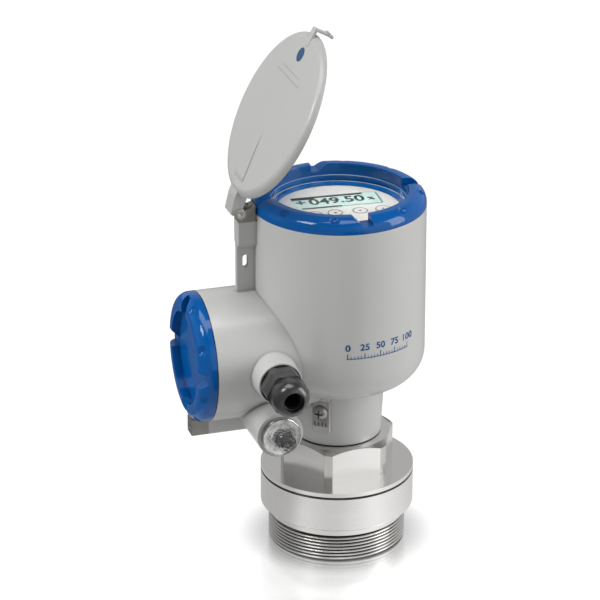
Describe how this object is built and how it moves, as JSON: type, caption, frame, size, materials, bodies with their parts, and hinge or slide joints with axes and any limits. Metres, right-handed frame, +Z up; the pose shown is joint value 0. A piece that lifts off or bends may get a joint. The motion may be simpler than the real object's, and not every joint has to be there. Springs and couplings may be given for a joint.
{
  "type": "radar level transmitter",
  "caption": "Lens-antenna radar level gauge with a threaded process connection, a turning cast two-chamber housing, screw covers, cable gland, touch display and hinged weather cover.",
  "frame": {"origin": "centre of the bottom face of the process thread, on the process axis", "axes": "+Z up along the process axis; the terminal chamber points along -X; the cable entries and the reader's side of the display face -Y"},
  "size_m": [0.1557, 0.1378, 0.3436],
  "materials": {
    "stainless": "turned stainless steel, half bright",
    "spring_steel": "spring steel",
    "plated_steel": "bright stainless steel screws and clamp",
    "lock_steel": "cast stainless steel, dull",
    "lens_plastic": "machined high-temperature plastic, natural colour",
    "seal_rubber": "black elastomer, matt",
    "grey_coating": "warm light grey powder coating on die-cast aluminium, satin",
    "blue_coating": "glossy blue coating on die-cast aluminium",
    "module_plastic": "dark grey moulded plastic",
    "terminal_plastic": "green moulded terminal plastic",
    "circuit_board": "green circuit board",
    "lcd": "pale green-grey liquid crystal display",
    "bezel_foil": "light grey front foil, matt",
    "key_print": "dark grey printed touch fields",
    "black_plastic": "black polyamide, satin",
    "window_glass": "clear toughened glass"
  },
  "bodies": {
    "process_connection": {"threaded_flange": "stainless", "lens_antenna": "lens_plastic", "lens_o_ring": "seal_rubber", "lens_retaining_ring": "stainless", "flange_gasket": "seal_rubber", "hex_adapter": "stainless", "waveguide_tube": "stainless", "swivel_clip": "spring_steel"},
    "housing": {"housing": "grey_coating", "neck_seal": "seal_rubber", "radar_module": "module_plastic", "electronics_module": "module_plastic", "display_module": "module_plastic", "display_board": "circuit_board", "lcd_panel": "lcd", "display_bezel": "bezel_foil", "display_keys": "key_print", "cable_feedthrough": "module_plastic", "terminal_block": "terminal_plastic", "terminal_screws": "plated_steel", "display_cover_lock": "lock_steel", "terminal_cover_lock": "lock_steel", "lock_screws": "plated_steel", "gland_washer": "seal_rubber", "gland_body": "black_plastic", "gland_seal": "seal_rubber", "blanking_plug": "plated_steel", "plug_o_ring": "seal_rubber", "ground_clamp": "plated_steel", "ground_screw": "plated_steel"},
    "display_cover_travel": {"display_cover_o_ring": "seal_rubber"},
    "display_cover": {"display_cover": "blue_coating", "cover_window": "window_glass", "window_seal": "seal_rubber"},
    "terminal_cover_travel": {"terminal_cover_o_ring": "seal_rubber"},
    "terminal_cover": {"terminal_cover": "blue_coating"},
    "gland_travel": {"gland_clamp_ring": "black_plastic"},
    "gland_nut": {"gland_nut": "black_plastic"},
    "weather_cover": {"weather_cover": "grey_coating", "hinge_screw": "plated_steel", "hinge_nut": "plated_steel"}
  },
  "joints": [
    {"name": "housing_swivel", "type": "hinge", "parent": "process_connection", "child": "housing", "pos_m": [0, 0, 0.074], "axis": [0, 0, 1], "range_deg": [-180, 180]},
    {"name": "weather_cover_hinge", "type": "hinge", "parent": "housing", "child": "weather_cover", "pos_m": [-0.066, 0, 0.2314], "axis": [0, -1, 0], "range_deg": [-60.2, 45]},
    {"name": "display_cover_lift", "type": "slide", "parent": "housing", "child": "display_cover_travel", "axis": [0, 0, 1], "range_m": [0, 0.01]},
    {"name": "display_cover_turn", "type": "hinge", "parent": "display_cover_travel", "child": "display_cover", "pos_m": [0, 0, 0.2284], "axis": [0, 0, 1], "range_deg": [0, 1800]},
    {"name": "terminal_cover_lift", "type": "slide", "parent": "housing", "child": "terminal_cover_travel", "axis": [-1, 0, 0], "range_m": [0, 0.01]},
    {"name": "terminal_cover_turn", "type": "hinge", "parent": "terminal_cover_travel", "child": "terminal_cover", "pos_m": [-0.0897, 0, 0.13575], "axis": [-1, 0, 0], "range_deg": [0, 1800]},
    {"name": "gland_nut_lift", "type": "slide", "parent": "housing", "child": "gland_travel", "axis": [0, -1, 0], "range_m": [0, 0.006]},
    {"name": "gland_nut_turn", "type": "hinge", "parent": "gland_travel", "child": "gland_nut", "pos_m": [-0.0542, -0.062, 0.13575], "axis": [0, -1, 0], "range_deg": [0, 1440]}
  ],
  "couplings": [
    {"joint": "display_cover_lift", "follows": "display_cover_turn", "m_per_rad": 0.00031831},
    {"joint": "terminal_cover_lift", "follows": "terminal_cover_turn", "m_per_rad": 0.00031831},
    {"joint": "gland_nut_lift", "follows": "gland_nut_turn", "m_per_rad": 0.00023873}
  ]
}
